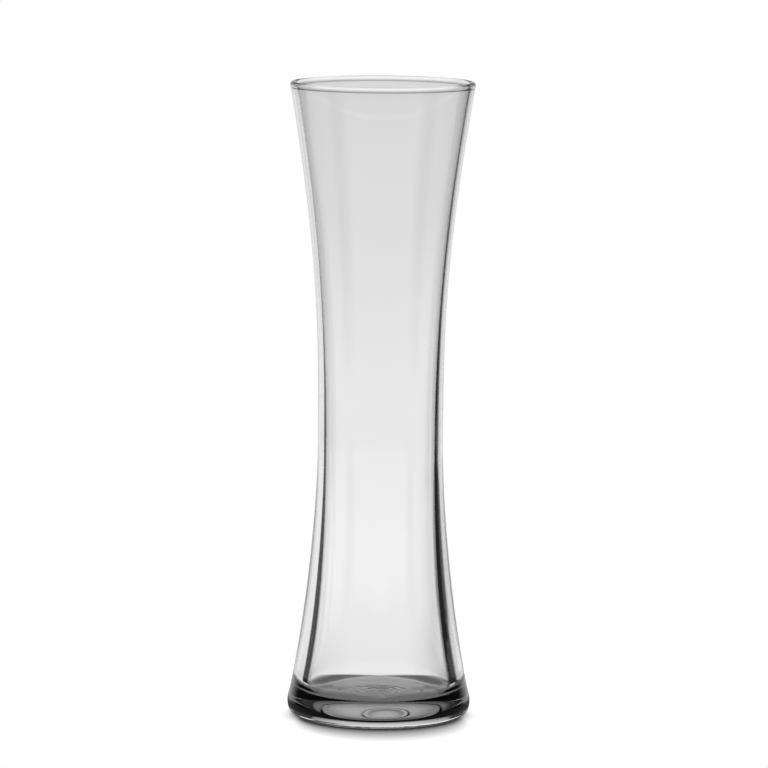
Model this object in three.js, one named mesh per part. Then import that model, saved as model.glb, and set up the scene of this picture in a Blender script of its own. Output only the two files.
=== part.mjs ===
// Glass bud vase: one piece of clear glass, an hourglass tube on a heavy solid foot.
// Millimetres, +Z up. The origin is on the vase's axis, in the plane that it stands on.
// Everything is one turned profile of radius and height, swept once round the axis.

import * as THREE from "three";

// Overall height, from the standing plane to the top of the rim.
const HEIGHT = 228.6;

// Underside: a shallow hollow inside a flat ring, which is all that touches the table.
const HOLLOW_DEPTH = 0.6;
const HOLLOW_RADIUS = 23.5;
const STANDING_RADIUS = 27.8;

// Heel: the rounded corner between the standing ring and the outer wall.
const HEEL_RADIUS = 32.55;
const HEEL_HEIGHT = 8;
const HEEL_PULL_OUT = 4.55;
const HEEL_PULL_DOWN = 4.67;

// Outer wall: it leans in from the heel, is narrowest at the waist and flares to the rim.
// A lean is the change of radius for each millimetre of height, and a reach is the length
// along the height over which the curve holds that lean.
const OUTER_FOOT = { radius: HEEL_RADIUS, height: HEEL_HEIGHT, lean: -0.233, reach: 21.9 };
const OUTER_WAIST = { radius: 22.44, height: 100, reachDown: 28.2, reachUp: 33.4 };
const OUTER_RIM = { lean: 0.17, reach: 64.1 };

// Inner wall: it follows the outer wall, 2 mm from it near the top and 5.5 mm near the foot.
const INNER_FOOT = { radius: 25.4, height: 14.5, lean: -0.2, reach: 23.5 };
const INNER_WAIST = { radius: 19.6, height: 97, reachDown: 22, reachUp: 60.7 };
const INNER_RIM = { lean: 0.158, reach: 32.5 };

// Rim: a fire-polished bead, a little thicker than the wall, with a small fillet below it
// on each side. The walls end at these distances from a line down from the bead's centre.
const RIM_RADIUS = 33.11;
const BEAD_RADIUS = 1.25;
const BEAD_FILLET = 1;
const BEAD_TO_OUTER = 1.15;
const BEAD_TO_INNER = 1;

// Cavity floor: the top of the solid foot, with a rounded corner into the inner wall.
const FLOOR_HEIGHT = 9;
const FLOOR_RADIUS = 24.4;

// Facets: steps round the axis, and steps along each stretch of the profile. The bead has
// its steps for each quarter of a circle and for the short arcs down to its fillets.
const STEPS_ROUND = 48;
const STEPS = { hollow: 3, heel: 5, foot: 8, flare: 9, fillet: 2, neck: 2, bead: 3, corner: 4 };

const GLASS = new THREE.MeshStandardMaterial({
  name: "clear_glass",
  color: 0xe4e8e8,
  roughness: 0.03,
  metalness: 0,
  transparent: true,
  opacity: 0.35,
});

// A point of the profile: x is the distance from the axis, y is the height.
function at(radius, height) {
  return new THREE.Vector2(radius, height);
}

// The points of a curve without its last one, which the next stretch begins with.
function stretch(curve, steps) {
  return curve.getPoints(steps).slice(0, -1);
}

// The points of a round stretch from one angle up to, but not including, another.
function arc(centre, radius, fromAngle, toAngle, steps) {
  const points = [];
  for (let step = 0; step < steps; step += 1) {
    const angle = fromAngle + ((toAngle - fromAngle) * step) / steps;
    points.push(at(centre.x + radius * Math.cos(angle), centre.y + radius * Math.sin(angle)));
  }
  return points;
}

// An angle brought into one whole turn.
function wholeTurn(angle) {
  return (angle + 2 * Math.PI) % (2 * Math.PI);
}

const BEAD_CENTRE = at(RIM_RADIUS - BEAD_RADIUS, HEIGHT - BEAD_RADIUS);

// Where a wall ends below the bead, and the fillet that joins the two. side is 1 for the
// outer wall and -1 for the inner one.
function rimSide(lean, side, halfWall) {
  const tilt = Math.atan(lean);
  const across = at(side * Math.cos(tilt), -side * Math.sin(tilt));
  const along = at(Math.sin(tilt), Math.cos(tilt));
  const spread = halfWall + BEAD_FILLET;
  const drop = Math.sqrt((BEAD_RADIUS + BEAD_FILLET) ** 2 - spread ** 2);
  const below = BEAD_CENTRE.clone().addScaledVector(along, -drop);
  const centre = below.clone().addScaledVector(across, spread);
  return {
    end: below.clone().addScaledVector(across, halfWall),
    centre,
    atWall: Math.atan2(-across.y, -across.x),
    atBead: Math.atan2(BEAD_CENTRE.y - centre.y, BEAD_CENTRE.x - centre.x),
    onBead: Math.atan2(centre.y - BEAD_CENTRE.y, centre.x - BEAD_CENTRE.x),
  };
}

// A wall from its foot to its waist, upright where it reaches the waist.
function footToWaist(foot, waist) {
  return new THREE.CubicBezierCurve(
    at(foot.radius, foot.height),
    at(foot.radius + foot.lean * foot.reach, foot.height + foot.reach),
    at(waist.radius, waist.height - waist.reachDown),
    at(waist.radius, waist.height),
  );
}

// A wall from its waist to its end below the bead, with the rim's lean where it ends.
function waistToRim(waist, rim, end) {
  return new THREE.CubicBezierCurve(
    at(waist.radius, waist.height),
    at(waist.radius, waist.height + waist.reachUp),
    at(end.x - rim.lean * rim.reach, end.y - rim.reach),
    end,
  );
}

// The same wall curve run the other way, from its upper end to its lower end.
function downward(curve) {
  return new THREE.CubicBezierCurve(curve.v3, curve.v2, curve.v1, curve.v0);
}

// The underside, from the axis up to, but not including, the edge of the standing ring.
function underside() {
  const radius = (HOLLOW_RADIUS ** 2 + HOLLOW_DEPTH ** 2) / (2 * HOLLOW_DEPTH);
  const top = Math.PI / 2;
  const edge = top - Math.asin(HOLLOW_RADIUS / radius);
  const points = arc(at(0, HOLLOW_DEPTH - radius), radius, top, edge, STEPS.hollow);
  return [at(0, HOLLOW_DEPTH), ...points.slice(1)];
}

// The rounded heel, from the outer edge of the standing ring to the foot of the outer wall.
function heel() {
  const curve = new THREE.CubicBezierCurve(
    at(STANDING_RADIUS, 0),
    at(STANDING_RADIUS + HEEL_PULL_OUT, 0),
    at(HEEL_RADIUS - OUTER_FOOT.lean * HEEL_PULL_DOWN, HEEL_HEIGHT - HEEL_PULL_DOWN),
    at(HEEL_RADIUS, HEEL_HEIGHT),
  );
  return stretch(curve, STEPS.heel);
}

// The bead and its two fillets, from the end of the outer wall to the end of the inner one.
// The steps fall on the bead's outermost and highest points, so that the size is exact.
function rim(outer, inner) {
  const top = Math.PI / 2;
  const inside = Math.PI;
  return [
    ...arc(outer.centre, BEAD_FILLET, wholeTurn(outer.atWall), outer.atBead, STEPS.fillet),
    ...arc(BEAD_CENTRE, BEAD_RADIUS, outer.onBead, 0, STEPS.neck),
    ...arc(BEAD_CENTRE, BEAD_RADIUS, 0, top, STEPS.bead),
    ...arc(BEAD_CENTRE, BEAD_RADIUS, top, inside, STEPS.bead),
    ...arc(BEAD_CENTRE, BEAD_RADIUS, inside, wholeTurn(inner.onBead), STEPS.neck),
    ...arc(inner.centre, BEAD_FILLET, inner.atBead, inner.atWall, STEPS.fillet),
  ];
}

// The rounded corner at the bottom of the cavity, from the inner wall to the flat floor.
function corner() {
  const wallDrop = INNER_FOOT.height - FLOOR_HEIGHT;
  const curve = new THREE.QuadraticBezierCurve(
    at(INNER_FOOT.radius, INNER_FOOT.height),
    at(INNER_FOOT.radius - INNER_FOOT.lean * wallDrop, FLOOR_HEIGHT),
    at(FLOOR_RADIUS, FLOOR_HEIGHT),
  );
  return curve.getPoints(STEPS.corner);
}

// The whole outline, from the axis under the foot, up the outside and down into the cavity.
function profile() {
  const outer = rimSide(OUTER_RIM.lean, 1, BEAD_TO_OUTER);
  const inner = rimSide(INNER_RIM.lean, -1, BEAD_TO_INNER);
  return [
    ...underside(),
    at(HOLLOW_RADIUS, 0),
    ...heel(),
    ...stretch(footToWaist(OUTER_FOOT, OUTER_WAIST), STEPS.foot),
    ...stretch(waistToRim(OUTER_WAIST, OUTER_RIM, outer.end), STEPS.flare),
    ...rim(outer, inner),
    ...stretch(downward(waistToRim(INNER_WAIST, INNER_RIM, inner.end)), STEPS.flare),
    ...stretch(downward(footToWaist(INNER_FOOT, INNER_WAIST)), STEPS.foot),
    ...corner(),
    at(0, FLOOR_HEIGHT),
  ];
}

// The lathe turns its profile about Y, so the finished solid is stood up on Z.
function vaseBody() {
  const geometry = new THREE.LatheGeometry(profile(), STEPS_ROUND);
  geometry.rotateX(Math.PI / 2);
  const mesh = new THREE.Mesh(geometry, GLASS);
  mesh.name = "vase_body";
  return mesh;
}

const vase = new THREE.Group();
vase.add(vaseBody());

export default vase;
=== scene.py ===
"""Looks for the glass bud vase: one turned piece of clear glass on a white studio table."""

import math

import bpy
from mathutils import Euler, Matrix, Quaternion, Vector, noise


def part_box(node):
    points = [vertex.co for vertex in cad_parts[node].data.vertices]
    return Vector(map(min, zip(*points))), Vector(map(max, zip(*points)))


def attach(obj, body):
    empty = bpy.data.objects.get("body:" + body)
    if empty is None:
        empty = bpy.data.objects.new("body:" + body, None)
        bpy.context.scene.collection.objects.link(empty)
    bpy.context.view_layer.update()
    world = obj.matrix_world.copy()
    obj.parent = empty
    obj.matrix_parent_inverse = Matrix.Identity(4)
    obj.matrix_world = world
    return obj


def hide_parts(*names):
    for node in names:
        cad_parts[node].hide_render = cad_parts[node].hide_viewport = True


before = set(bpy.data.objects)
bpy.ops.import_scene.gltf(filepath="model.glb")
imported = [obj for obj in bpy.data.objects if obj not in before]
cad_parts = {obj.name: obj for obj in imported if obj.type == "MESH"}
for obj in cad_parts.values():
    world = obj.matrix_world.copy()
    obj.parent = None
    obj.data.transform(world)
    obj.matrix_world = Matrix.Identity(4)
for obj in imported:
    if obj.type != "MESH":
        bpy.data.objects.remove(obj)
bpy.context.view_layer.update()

MM = 0.001

# The vase's outline, in millimetres: heights above the table and distances from the axis.
# The overall size comes from the frame, and these set the curves between its corners. A lean
# is the change of radius for each millimetre of height. A reach, and a waist's down and up,
# are the lengths along the height over which a curve holds its lean.
LOW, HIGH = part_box("vase_body")
HEIGHT = (HIGH.z - LOW.z) / MM
RIM_RADIUS = (HIGH.x - LOW.x) / 2 / MM
HOLLOW_DEPTH = 0.6
HOLLOW_RADIUS = 23.5
STANDING_RADIUS = 27.8
HEEL_RADIUS = 32.55
HEEL_HEIGHT = 8
HEEL_PULL_OUT = 4.55
HEEL_PULL_DOWN = 4.67
BEAD_RADIUS = 1.25
BEAD_CENTRE = (RIM_RADIUS - BEAD_RADIUS, HEIGHT - BEAD_RADIUS)
BEAD_TO_OUTER = 1.15
BEAD_TO_INNER = 1.0
BEAD_FILLET = 1.0
OUTER_FOOT = {"radius": HEEL_RADIUS, "height": HEEL_HEIGHT, "lean": -0.233, "reach": 21.9}
OUTER_WAIST = {"radius": 22.44, "height": 100, "down": 28.2, "up": 33.4}
OUTER_RIM = {"lean": 0.17, "reach": 64.1}
INNER_FOOT = {"radius": 25.4, "height": 14.5, "lean": -0.2, "reach": 23.5}
INNER_WAIST = {"radius": 19.6, "height": 97, "down": 22, "up": 60.7}
INNER_RIM = {"lean": 0.158, "reach": 32.5}
FLOOR_HEIGHT = 9.0
FLOOR_RADIUS = 24.4

# Steps along each stretch of the outline, and steps round the axis.
STEPS = {
    "hollow": 78,
    "standing_ring": 3,
    "heel": 24,
    "outer_foot": 48,
    "outer_flare": 60,
    "fillet": 6,
    "bead": 28,
    "inner_flare": 90,
    "inner_foot": 60,
    "corner": 20,
    "floor": 60,
}
STEPS_ROUND = 200

# Marks that the mould leaves in the underside, in millimetres. A groove's width is the
# distance from its deepest line over which it falls to about a third.
MOULD_RING = {"centre": (0.8, 0.0), "radius": 14.3, "depth": 0.15, "width": 0.8}
VALVE_RING = {"centre": (2.3, -3.5), "radius": 7.2, "depth": 0.1, "width": 0.9}

# The rings in which the floor chilled, in millimetres. They drift from round, vary in height
# and die away over the fade before their reach. A grain is how wide the noise's features are.
CHILL_CENTRE = (0.6, -2.5)
CHILL_REACH = 15
CHILL_FADE = 8
CHILL_SPACING = 3.2
CHILL_HEIGHT = 0.14
CHILL_DRIFT = {"amount": 3.0, "grain": 9, "layer": 1}
CHILL_STRENGTH = 0.6
CHILL_VARIATION = {"amount": 1.2, "grain": 5, "layer": 5}

# The inner wall's faint unevenness, in millimetres. Its noise is read on a narrow cylinder of
# radius WAVE_ROUND, and it begins over these heights above the floor.
WAVE_HEIGHT = 0.003
WAVE_ROUND = 2
WAVE_GRAIN = 24
WAVE_ABOVE_FLOOR = (2, 12)

# The fine ripples below the rim, in millimetres. The sway shifts them along, in radians. They
# rise and end over these distances below the rim.
RIPPLE_HEIGHT = 0.006
RIPPLE_SPACING = 3.1
RIPPLE_SWAY = {"amount": 3.2, "grain": 20, "layer": 3}
RIPPLE_RISE = (30, 12)
RIPPLE_END = (3, 8)

# The glass. Its tint wanders between two, because the melt is a hair less clear in places.
# Each is beside the level of the noise at which it is reached.
GLASS_IOR = 1.5
GLASS_TINTS = {0.35: (0.982, 0.984, 0.984, 1), 0.65: (0.990, 0.991, 0.991, 1)}
TINT_SCALE = 35
TINT_DETAIL = 2

# Brightness of the lit studio at each elevation, which is in degrees above the horizon.
LIT_LEVELS = (
    (-90, 0.75),
    (-45, 0.86),
    (-25, 0.96),
    (-12.5, 0.96),
    (-11, 0.92),
    (-9, 0.885),
    (-8, 0.84),
    (-6.5, 0.82),
    (-4, 0.77),
    (0, 0.66),
    (12, 0.41),
    (20, 0.225),
    (26, 0.15),
    (48, 0.14),
    (60, 0.24),
    (90, 0.24),
)

# The dark cards of the studio. A pair is where a soft edge begins and ends, in degrees. Rows
# are elevations. The other pairs are turns: how far round from straight behind the vase, or
# from straight in front of it.
CARD_LEVEL = 0.014
CARD_TOP_ROWS = (40, 60)
UPPER_ROWS = (-4, 6)

# Behind the vase a card stands at each side. The left one begins sharply. The right one begins
# with a faint shade, and with another shade below the lower shade's rows. Below each of its
# leans' rows it reaches further in, by the number of degrees beside them. In the upper rows
# both begin with a shade. Below the upper rows both end at the far edge.
LEFT_EDGE = (37, 41)
RIGHT_EDGE = (27, 37)
RIGHT_EDGE_DARKNESS = 0.75
RIGHT_SHADE = (6, 28)
RIGHT_SHADE_DARKNESS = 0.25
LOWER_SHADE = (3, 20)
LOWER_SHADE_DARKNESS = 0.3
LOWER_SHADE_ROWS = (-11, -8)
RIGHT_LEANS = (((-15, -12.5), 9), ((-11.5, -9.5), 5))
UPPER_SHADE = (12, 34)
UPPER_SHADE_DARKNESS = 0.5
UPPER_LEFT_EDGE = (34, 44)
UPPER_RIGHT_EDGE = (33.5, 36.5)
UPPER_EDGE_DARKNESS = 0.5
FAR_EDGE = (57, 65)

# The far cards go down to their foot rows. The right one goes lower by its drop, in degrees,
# except round the studio's corner.
CARD_FOOT_ROWS = (-13.5, -11.5)
CORNER_TURN = 45
CORNER_EDGE = (7, 10)
RIGHT_DROP = 10

# In front of the vase a slim low card stands towards each side, and a wide card in the upper
# rows.
SLIM_INNER_EDGE = (50, 68)
SLIM_OUTER_EDGE = (72, 84)
SLIM_FOOT_ROWS = (-32, -28)
SLIM_TOP_ROWS = (-13, -10.5)
SLIM_DARKNESS = 0.9
WIDE_EDGE = (50, 62)

# How sharply left gives way to right and front to back, as parts of the sphere's radius.
LEFT_TO_RIGHT = (-0.1, 0.1)
FRONT_TO_BACK = (-0.05, 0.05)

# Gloss sees only a lit strip behind the vase, which is wider above its rows, by degrees.
GLOSS_EDGE = (14, 38)
GLOSS_WIDER = 18
GLOSS_WIDER_ROWS = (-11, -6)
GLOSS_LEVEL = 0.045

# Light on the table, from the front of the studio to its back.
DOME_LEVELS = (1.5, 1.9)

# Steps round the two flat discs, the table and the sheet of painted shade under the vase.
DISC_STEPS = 128

# The table, in metres. Its shadow is a painted shadow, darkening the table's colour, and lightens
# over the span past its start. It swings a little to the right of straight ahead. The least is the
# smallest distance ahead that it counts with.
TABLE_RADIUS = 0.125
TABLE_GAP = 0.0001
TABLE_FADE = (0.07, 0.12)
TABLE_WHITE = 0.87
SHADOW_START = 0.029
SHADOW_SPAN = (-0.005, 0.033)
SHADOW_LEVEL = 0.19
SHADOW_SWING = 0.07
SHADOW_LEAST = 0.0001

# The painted shade under the vase, in metres: a dimly glowing sheet that only the glass sees, in
# place of the shaded table round the foot. Its edge is in front of the vase and behind it, and
# moves out towards the sides by the widening. The end is where it fades all round.
PAINTED_SHADE_RADIUS = 0.1
PAINTED_SHADE_GAP = 0.00005
PAINTED_SHADE_EDGE = (0.032, 0.040)
PAINTED_SHADE_WIDENING = 0.6
PAINTED_SHADE_END = (0.045, 0.085)
PAINTED_SHADE_LEVEL = 0.14

# The camera: its place in metres, its angles in degrees, its lens and sensor in millimetres,
# and its shift as a part of the picture's width.
CAMERA_PLACE = (0, -1.817, 0.3536)
CAMERA_PITCH = 7.323
CAMERA_ROLL = 0.43
CAMERA_LENS = 239.6
CAMERA_SENSOR = 36
CAMERA_SHIFT = 0.0041
CAMERA_CLIP_END = 20


def between(start, end, share):
    """The point that lies a share of the way from start to end."""
    return tuple(s + (e - s) * share for s, e in zip(start, end))


def line(start, end, steps):
    """Points of a straight stretch, without its last one, which the next stretch begins with."""
    return [between(start, end, step / steps) for step in range(steps)]


def bezier(corners, steps):
    """Points of a cubic curve, without its last one."""
    points = []
    for step in range(steps):
        t = step / steps
        u = 1 - t
        weights = (u**3, 3 * u * u * t, 3 * u * t * t, t**3)
        points.append(tuple(sum(w * c[i] for w, c in zip(weights, corners)) for i in range(2)))
    return points


def arc(centre, radius, start, end, steps):
    """Points of a round stretch from one angle to another, without its last one."""
    points = []
    for step in range(steps):
        angle = start + (end - start) * step / steps
        points.append((centre[0] + radius * math.cos(angle), centre[1] + radius * math.sin(angle)))
    return points


def rim_side(lean, side, half_wall):
    """Where one wall ends under the bead, and the fillet between them, as the wall's end, the
    fillet's centre and its angles. side is 1 for the outer wall and -1 for the inner."""
    tilt = math.atan(lean)
    across = (side * math.cos(tilt), -side * math.sin(tilt))
    along = (math.sin(tilt), math.cos(tilt))
    spread = half_wall + BEAD_FILLET
    drop = math.sqrt((BEAD_RADIUS + BEAD_FILLET) ** 2 - spread**2)
    below = tuple(c - drop * a for c, a in zip(BEAD_CENTRE, along))
    centre = tuple(b + spread * a for b, a in zip(below, across))
    return {
        "end": tuple(b + half_wall * a for b, a in zip(below, across)),
        "centre": centre,
        "at_wall": math.atan2(-across[1], -across[0]),
        "at_bead": math.atan2(BEAD_CENTRE[1] - centre[1], BEAD_CENTRE[0] - centre[0]),
        "on_bead": math.atan2(centre[1] - BEAD_CENTRE[1], centre[0] - BEAD_CENTRE[0]),
    }


def foot_curve(foot, waist):
    """Corners of a wall's curve from its foot to its waist."""
    return (
        (foot["radius"], foot["height"]),
        (foot["radius"] + foot["lean"] * foot["reach"], foot["height"] + foot["reach"]),
        (waist["radius"], waist["height"] - waist["down"]),
        (waist["radius"], waist["height"]),
    )


def flare_curve(waist, rim, end):
    """Corners of a wall's curve from its waist to its end under the bead."""
    return (
        (waist["radius"], waist["height"]),
        (waist["radius"], waist["height"] + waist["up"]),
        (end[0] - rim["lean"] * rim["reach"], end[1] - rim["reach"]),
        end,
    )


def heel_curve():
    """Corners of the rounded heel's curve from the standing ring to the outer wall."""
    return (
        (STANDING_RADIUS, 0),
        (STANDING_RADIUS + HEEL_PULL_OUT, 0),
        (HEEL_RADIUS - OUTER_FOOT["lean"] * HEEL_PULL_DOWN, HEEL_HEIGHT - HEEL_PULL_DOWN),
        (HEEL_RADIUS, HEEL_HEIGHT),
    )


def corner_curve():
    """Corners of the curve from the inner wall to the floor. It is a parabola, which heads for
    the elbow, where the wall would meet the floor, from each of its ends."""
    wall_end = (INNER_FOOT["radius"], INNER_FOOT["height"])
    floor_end = (FLOOR_RADIUS, FLOOR_HEIGHT)
    drop = INNER_FOOT["height"] - FLOOR_HEIGHT
    elbow = (INNER_FOOT["radius"] - INNER_FOOT["lean"] * drop, FLOOR_HEIGHT)
    pull = 2 / 3
    return (wall_end, between(wall_end, elbow, pull), between(floor_end, elbow, pull), floor_end)


def hollow():
    """The shallow hollow under the foot, from the axis to the standing ring."""
    radius = (HOLLOW_RADIUS**2 + HOLLOW_DEPTH**2) / (2 * HOLLOW_DEPTH)
    top = math.pi / 2
    edge = top - math.asin(HOLLOW_RADIUS / radius)
    return arc((0, HOLLOW_DEPTH - radius), radius, top, edge, STEPS["hollow"])


def outside(outer, inner):
    """The standing ring, the heel, the outer wall and the bead with its two fillets."""
    turn = 2 * math.pi
    points = line((HOLLOW_RADIUS, 0), (STANDING_RADIUS, 0), STEPS["standing_ring"])
    points += bezier(heel_curve(), STEPS["heel"])
    points += bezier(foot_curve(OUTER_FOOT, OUTER_WAIST), STEPS["outer_foot"])
    points += bezier(flare_curve(OUTER_WAIST, OUTER_RIM, outer["end"]), STEPS["outer_flare"])
    up_to_bead = (outer["at_wall"] % turn, outer["at_bead"] % turn)
    over_bead = (outer["on_bead"], inner["on_bead"] % turn)
    down_to_wall = (inner["at_bead"], inner["at_wall"])
    points += arc(outer["centre"], BEAD_FILLET, *up_to_bead, STEPS["fillet"])
    points += arc(BEAD_CENTRE, BEAD_RADIUS, *over_bead, STEPS["bead"])
    points += arc(inner["centre"], BEAD_FILLET, *down_to_wall, STEPS["fillet"])
    return points


def inside(inner):
    """The inner wall and the cavity's rounded corner, from the bead down to the floor."""
    flare = flare_curve(INNER_WAIST, INNER_RIM, inner["end"])
    points = bezier(flare[::-1], STEPS["inner_flare"])
    points += bezier(foot_curve(INNER_FOOT, INNER_WAIST)[::-1], STEPS["inner_foot"])
    points += bezier(corner_curve(), STEPS["corner"])
    return points


def profile():
    """The outline from the axis under the foot to the axis on the cavity's floor, as four
    stretches that take different marks."""
    outer = rim_side(OUTER_RIM["lean"], 1, BEAD_TO_OUTER)
    inner = rim_side(INNER_RIM["lean"], -1, BEAD_TO_INNER)
    middle = (0, FLOOR_HEIGHT)
    return {
        "under": hollow(),
        "outside": outside(outer, inner),
        "inside": inside(inner),
        "floor": line((FLOOR_RADIUS, FLOOR_HEIGHT), middle, STEPS["floor"]) + [middle],
    }


def smooth_step(value, low, high):
    """From 0 at low to 1 at high, level at both ends."""
    t = min(max((value - low) / (high - low), 0), 1)
    return t * t * (3 - 2 * t)


def level_noise(x, y, pattern):
    """Smooth noise over a level plane. Each layer of it is another pattern."""
    place = Vector((x / pattern["grain"], y / pattern["grain"], pattern["layer"]))
    return pattern["amount"] * noise.noise(place)


def groove(x, y, ring):
    """How deep a round groove is at a point of the underside."""
    centre_x, centre_y = ring["centre"]
    off = (math.hypot(x - centre_x, y - centre_y) - ring["radius"]) / ring["width"]
    return ring["depth"] * math.exp(-off * off)


def under_marks(x, y, z):
    """The underside with its mould ring and the valve's off-centre ring pressed into it."""
    return x, y, z + groove(x, y, MOULD_RING) + groove(x, y, VALVE_RING)


def floor_marks(x, y, z):
    """The floor with the uneven rings in which the glass chilled."""
    centre_x, centre_y = CHILL_CENTRE
    across = math.hypot(x - centre_x, y - centre_y) + level_noise(x, y, CHILL_DRIFT)
    strength = CHILL_STRENGTH + level_noise(x, y, CHILL_VARIATION)
    inward = smooth_step(across, CHILL_REACH, CHILL_REACH - CHILL_FADE)
    wave = math.cos(2 * math.pi * across / CHILL_SPACING)
    return x, y, z + CHILL_HEIGHT * strength * inward * wave


def wall_marks(x, y, z):
    """The inner wall with its faint unevenness, and with fine ripples just below the rim."""
    radius = math.hypot(x, y)
    round_x, round_y = (WAVE_ROUND * value / radius for value in (x, y))
    wave = WAVE_HEIGHT * noise.noise(Vector((round_x, round_y, z / WAVE_GRAIN)))
    above_floor = smooth_step(z - FLOOR_HEIGHT, *WAVE_ABOVE_FLOOR)
    sway = level_noise(x, y, RIPPLE_SWAY)
    ripple = RIPPLE_HEIGHT * math.cos(2 * math.pi * z / RIPPLE_SPACING + sway)
    below_rim = HEIGHT - z
    near_rim = smooth_step(below_rim, *RIPPLE_RISE) * smooth_step(below_rim, *RIPPLE_END)
    scale = 1 + (wave * above_floor + ripple * near_rim) / radius
    return x * scale, y * scale, z


def marked(r, z, mark, angle):
    """A point of the turned surface in metres, moved by its mark where it has one."""
    place = (r * math.cos(angle), r * math.sin(angle), z)
    if mark:
        place = mark(*place)
    return tuple(value * MM for value in place)


def mesh_object(name, verts, faces):
    """A new object in the scene, with a mesh of its own."""
    mesh = bpy.data.meshes.new(name)
    mesh.from_pydata(verts, [], faces)
    obj = bpy.data.objects.new(name, mesh)
    bpy.context.scene.collection.objects.link(obj)
    return obj


def turned_mesh(name, stretches, marks, steps_round):
    """A closed solid: the outline swept once round the axis, with one point at each end of it."""
    rings = [(r, z, marks.get(part)) for part, points in stretches.items() for r, z in points]
    verts = [marked(*rings[0], 0)]
    for ring in rings[1:-1]:
        for s in range(steps_round):
            verts.append(marked(*ring, 2 * math.pi * s / steps_round))
    verts.append(marked(*rings[-1], 0))
    last = len(verts) - 1
    ring_count = len(rings) - 2
    top = 1 + (ring_count - 1) * steps_round
    faces = []
    for s in range(steps_round):
        after = (s + 1) % steps_round
        faces.append((0, 1 + after, 1 + s))
        faces.append((last, top + s, top + after))
        for ring in range(ring_count - 1):
            a = 1 + ring * steps_round
            b = a + steps_round
            faces.append((a + s, a + after, b + after, b + s))
    obj = mesh_object(name, verts, faces)
    obj.data.polygons.foreach_set("use_smooth", [True] * len(faces))
    obj.data.update()
    return obj


class Graph:
    """Short calls for building a node tree."""

    def __init__(self, tree):
        self.tree = tree

    def node(self, kind, **values):
        """A new node with its settings."""
        made = self.tree.nodes.new(kind)
        for key, value in values.items():
            setattr(made, key, value)
        return made

    def feed(self, socket, value):
        """Links a socket to another, or sets it to a plain value."""
        if isinstance(value, bpy.types.NodeSocket):
            self.tree.links.new(value, socket)
        else:
            socket.default_value = value

    def math(self, operation, *inputs):
        """The result of a maths operation on numbers or sockets."""
        made = self.node("ShaderNodeMath", operation=operation)
        for socket, value in zip(made.inputs, inputs):
            self.feed(socket, value)
        return made.outputs[0]

    def product(self, first, *others):
        """All the factors multiplied together."""
        result = first
        for other in others:
            result = self.math("MULTIPLY", result, other)
        return result

    def ramp(self, value, span, start, end, kind="SMOOTHSTEP"):
        """From start to end as value goes over the span, in a smooth step or as the kind says."""
        made = self.node("ShaderNodeMapRange", interpolation_type=kind)
        self.feed(made.inputs["Value"], value)
        self.feed(made.inputs["From Min"], span[0])
        self.feed(made.inputs["From Max"], span[1])
        self.feed(made.inputs["To Min"], start)
        self.feed(made.inputs["To Max"], end)
        return made.outputs[0]

    def mix(self, factor, a, b):
        """a where factor is 0, b where it is 1."""
        made = self.node("ShaderNodeMix", data_type="FLOAT")
        self.feed(made.inputs[0], factor)
        self.feed(made.inputs[2], a)
        self.feed(made.inputs[3], b)
        return made.outputs[0]

    def mix_shader(self, factor, a, b):
        """Shader a where factor is 0, b where it is 1."""
        made = self.node("ShaderNodeMixShader")
        self.feed(made.inputs[0], factor)
        self.feed(made.inputs[1], a)
        self.feed(made.inputs[2], b)
        return made.outputs[0]

    def place(self):
        """Where a point is on its own object."""
        return self.node("ShaderNodeTexCoord").outputs["Object"]

    def parts(self, vector):
        """The x, y and z of a vector."""
        made = self.node("ShaderNodeSeparateXYZ")
        self.feed(made.inputs[0], vector)
        return made.outputs

    def length(self, vector):
        """How long a vector is."""
        made = self.node("ShaderNodeVectorMath", operation="LENGTH")
        self.feed(made.inputs[0], vector)
        return made.outputs["Value"]

    def end_faded(self, shader, fade):
        """Ends a material with a shader that is see-through where fade is 1."""
        clear = self.node("ShaderNodeBsdfTransparent").outputs[0]
        out = self.node("ShaderNodeOutputMaterial")
        self.feed(out.inputs["Surface"], self.mix_shader(fade, shader, clear))


def glass_material():
    """Clear glass, with a tint that varies very slightly from place to place."""
    mat = bpy.data.materials.new("clear_glass")
    mat.use_nodes = True
    g = Graph(mat.node_tree)
    cloud = g.node("ShaderNodeTexNoise")
    cloud.inputs["Scale"].default_value = TINT_SCALE
    cloud.inputs["Detail"].default_value = TINT_DETAIL
    g.feed(cloud.inputs["Vector"], g.place())
    tint = g.node("ShaderNodeValToRGB")
    for point, (position, color) in zip(tint.color_ramp.elements, GLASS_TINTS.items()):
        point.position = position
        point.color = color
    g.feed(tint.inputs[0], cloud.outputs["Fac"])
    shader = mat.node_tree.nodes["Principled BSDF"]
    g.feed(shader.inputs["Base Color"], tint.outputs[0])
    shader.inputs["Roughness"].default_value = 0.0
    shader.inputs["IOR"].default_value = GLASS_IOR
    shader.inputs["Transmission Weight"].default_value = 1.0
    return mat


def by_elevation(g, elevation, levels):
    """The level at an elevation, in straight steps between the listed ones."""
    scale = g.node("ShaderNodeValToRGB")
    points = scale.color_ramp.elements
    middle = 0.5
    while len(points) < len(levels):
        points.new(middle)
    lowest, highest = levels[0][0], levels[-1][0]
    for point, (degrees, level) in zip(points, levels):
        point.position = (degrees - lowest) / (highest - lowest)
        point.color = (level, level, level, 1)
    g.feed(scale.inputs[0], g.ramp(elevation, (lowest, highest), 0, 1, "LINEAR"))
    return scale.outputs[0]


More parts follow.
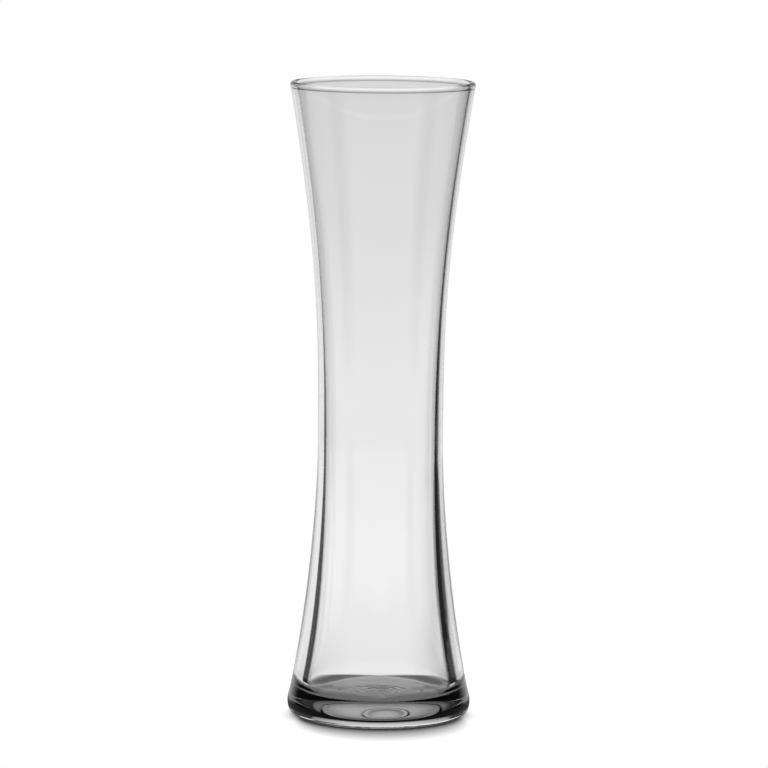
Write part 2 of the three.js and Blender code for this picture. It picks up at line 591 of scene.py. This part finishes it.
def far_cards(g, elevation, turned, right, upper):
    """How dark the cards behind the vase are, in one direction."""
    shade = g.mix(
        g.ramp(elevation, LOWER_SHADE_ROWS, 1, 0),
        g.ramp(turned, RIGHT_SHADE, 0, RIGHT_SHADE_DARKNESS),
        g.ramp(turned, LOWER_SHADE, 0, LOWER_SHADE_DARKNESS),
    )
    leaning = turned
    for rows, lean in RIGHT_LEANS:
        leaning = g.math("ADD", leaning, g.ramp(elevation, rows, lean, 0))
    left_edge = g.ramp(turned, LEFT_EDGE, 0, 1)
    right_edge = g.math("ADD", shade, g.ramp(leaning, RIGHT_EDGE, 0, RIGHT_EDGE_DARKNESS))
    lower_edge = g.mix(right, left_edge, right_edge)
    upper_left = g.ramp(turned, UPPER_LEFT_EDGE, 0, UPPER_EDGE_DARKNESS)
    upper_right = g.ramp(turned, UPPER_RIGHT_EDGE, 0, UPPER_EDGE_DARKNESS)
    upper_shade = g.ramp(turned, UPPER_SHADE, 0, UPPER_SHADE_DARKNESS)
    upper_edge = g.math("ADD", upper_shade, g.mix(right, upper_left, upper_right))
    inner_edge = g.mix(upper, lower_edge, upper_edge)
    outer_edge = g.mix(upper, g.ramp(turned, FAR_EDGE, 1, 0), 1)
    from_corner = g.math("ABSOLUTE", g.math("SUBTRACT", turned, CORNER_TURN))
    drop = g.product(g.ramp(from_corner, CORNER_EDGE, 0, 1), right, RIGHT_DROP)
    above_table = g.ramp(g.math("ADD", elevation, drop), CARD_FOOT_ROWS, 0, 1)
    return g.product(inner_edge, outer_edge, above_table)


def near_cards(g, elevation, turned, upper):
    """How dark the cards in front of the vase are, in one direction."""
    slim = g.product(
        g.ramp(turned, SLIM_INNER_EDGE, 0, 1),
        g.ramp(turned, SLIM_OUTER_EDGE, 1, 0),
        g.ramp(elevation, SLIM_FOOT_ROWS, 0, 1),
        g.ramp(elevation, SLIM_TOP_ROWS, SLIM_DARKNESS, 0),
    )
    wide = g.product(g.ramp(turned, WIDE_EDGE, 0, 1), upper)
    return g.math("MAXIMUM", slim, wide)


def studio_world():
    """A soft studio round the vase. The camera sees it as white. Light through the glass, light
    off the glass and light on the table each have a level of their own."""
    world = bpy.data.worlds.new("studio")
    bpy.context.scene.world = world
    world.use_nodes = True
    # the studio is soft all over, so it needs no importance map
    world.cycles.sampling_method = "NONE"
    world.node_tree.nodes.clear()
    g = Graph(world.node_tree)
    x, y, z = g.parts(g.node("ShaderNodeTexCoord").outputs["Generated"])
    in_degrees = 180 / math.pi
    elevation = g.product(g.math("ARCSINE", z), in_degrees)
    across = g.math("ABSOLUTE", x)
    along = g.math("ABSOLUTE", y)
    turned = g.product(g.math("ARCTAN2", across, along), in_degrees)
    right = g.ramp(x, LEFT_TO_RIGHT, 0, 1)
    back = g.ramp(y, FRONT_TO_BACK, 0, 1)
    upper = g.ramp(elevation, UPPER_ROWS, 0, 1)
    lit = by_elevation(g, elevation, LIT_LEVELS)

    near = near_cards(g, elevation, turned, upper)
    far = far_cards(g, elevation, turned, right, upper)
    card = g.product(g.mix(back, near, far), g.ramp(elevation, CARD_TOP_ROWS, 1, 0))
    through = g.mix(card, lit, CARD_LEVEL)

    from_back = g.product(g.math("ARCTAN2", across, y), in_degrees)
    past_strip = g.math("SUBTRACT", from_back, g.ramp(elevation, GLOSS_WIDER_ROWS, 0, GLOSS_WIDER))
    gloss = g.mix(g.ramp(past_strip, GLOSS_EDGE, 0, 1), lit, GLOSS_LEVEL)

    rays = g.node("ShaderNodeLightPath").outputs
    dome = g.ramp(y, (-1, 1), *DOME_LEVELS, "LINEAR")
    level = g.mix(rays["Is Transmission Ray"], gloss, through)
    level = g.mix(rays["Is Diffuse Ray"], level, dome)
    light = g.node("ShaderNodeBackground")
    seen = g.node("ShaderNodeBackground")
    g.feed(light.inputs["Strength"], level)
    g.feed(seen.inputs["Strength"], 1)
    for background in (light, seen):
        g.feed(background.inputs["Color"], (1, 1, 1, 1))
    out = g.node("ShaderNodeOutputWorld")
    picked = g.mix_shader(rays["Is Camera Ray"], light.outputs[0], seen.outputs[0])
    g.feed(out.inputs["Surface"], picked)


def stage_disc(name, radius, height):
    """A flat round sheet with an empty material. It is stage, and not part of the vase."""
    verts = [(0, 0, 0)]
    for s in range(DISC_STEPS):
        angle = 2 * math.pi * s / DISC_STEPS
        verts.append((radius * math.cos(angle), radius * math.sin(angle), 0))
    faces = [(0, 1 + s, 1 + (s + 1) % DISC_STEPS) for s in range(DISC_STEPS)]
    obj = mesh_object(name, verts, faces)
    obj.location.z = height
    mat = bpy.data.materials.new(name)
    mat.use_nodes = True
    mat.node_tree.nodes.clear()
    obj.data.materials.append(mat)
    return obj, Graph(mat.node_tree)


def table():
    """White, with a soft painted shadow in its colour towards the front that narrows to nothing at
    the sides. The glass doesn't see it."""
    obj, g = stage_disc("table", TABLE_RADIUS, LOW.z - TABLE_GAP)
    obj.visible_transmission = False
    obj.visible_glossy = False
    place = g.place()
    radius = g.length(place)
    x, y = g.parts(place)[:2]
    ahead = g.math("SUBTRACT", g.product(x, SHADOW_SWING), y)
    forward = g.math("MAXIMUM", ahead, SHADOW_LEAST)
    narrowing = g.math("POWER", g.math("DIVIDE", radius, forward), 2)
    past_edge = g.product(g.math("SUBTRACT", radius, SHADOW_START), narrowing)
    # painted shadow: the table's colour is darkened round the front of the foot
    shade = g.ramp(past_edge, SHADOW_SPAN, SHADOW_LEVEL, 1)
    white = g.node("ShaderNodeBsdfDiffuse")
    g.feed(white.inputs["Color"], g.product(shade, TABLE_WHITE))
    g.end_faded(white.outputs[0], g.ramp(radius, TABLE_FADE, 0, 1))


def painted_shade_mat():
    """Painted shade under the vase: a dimly glowing sheet, narrow at the middle and wide to the
    sides, that stands in for the shaded table round the foot. Only the glass sees it, and it gives
    the foot its depth."""
    obj, g = stage_disc("painted_shade_mat", PAINTED_SHADE_RADIUS, LOW.z - PAINTED_SHADE_GAP)
    obj.visible_camera = False
    obj.visible_diffuse = False
    obj.visible_shadow = False
    place = g.place()
    x, y = (g.math("ABSOLUTE", part) for part in g.parts(place)[:2])
    reach = g.math("SUBTRACT", y, g.product(x, PAINTED_SHADE_WIDENING))
    edge = g.ramp(reach, PAINTED_SHADE_EDGE, 0, 1)
    end = g.ramp(g.length(place), PAINTED_SHADE_END, 0, 1)
    # painted shade: a fixed dim glow in place of the shaded table round the foot
    card = g.node("ShaderNodeEmission")
    g.feed(card.inputs["Strength"], PAINTED_SHADE_LEVEL)
    g.end_faded(card.outputs[0], g.math("MAXIMUM", edge, end))


def camera():
    """A long lens at the front, which looks a little down at the vase."""
    data = bpy.data.cameras.new("camera")
    data.sensor_width = CAMERA_SENSOR
    data.lens = CAMERA_LENS
    data.shift_x = CAMERA_SHIFT
    data.clip_end = CAMERA_CLIP_END
    obj = bpy.data.objects.new("camera", data)
    bpy.context.scene.collection.objects.link(obj)
    obj.location = CAMERA_PLACE
    obj.rotation_mode = "QUATERNION"
    aim = Euler((math.pi / 2 - math.radians(CAMERA_PITCH), 0, 0)).to_quaternion()
    obj.rotation_quaternion = aim @ Quaternion((0, 0, 1), math.radians(CAMERA_ROLL))
    bpy.context.scene.camera = obj


camera()
studio_world()
table()
painted_shade_mat()

MARKS = {"under": under_marks, "inside": wall_marks, "floor": floor_marks}
vase = turned_mesh("vase_glass", profile(), MARKS, STEPS_ROUND)
vase.data.materials.append(glass_material())
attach(vase, "root")
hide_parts("vase_body")

bpy.context.scene.view_settings.view_transform = "Standard"
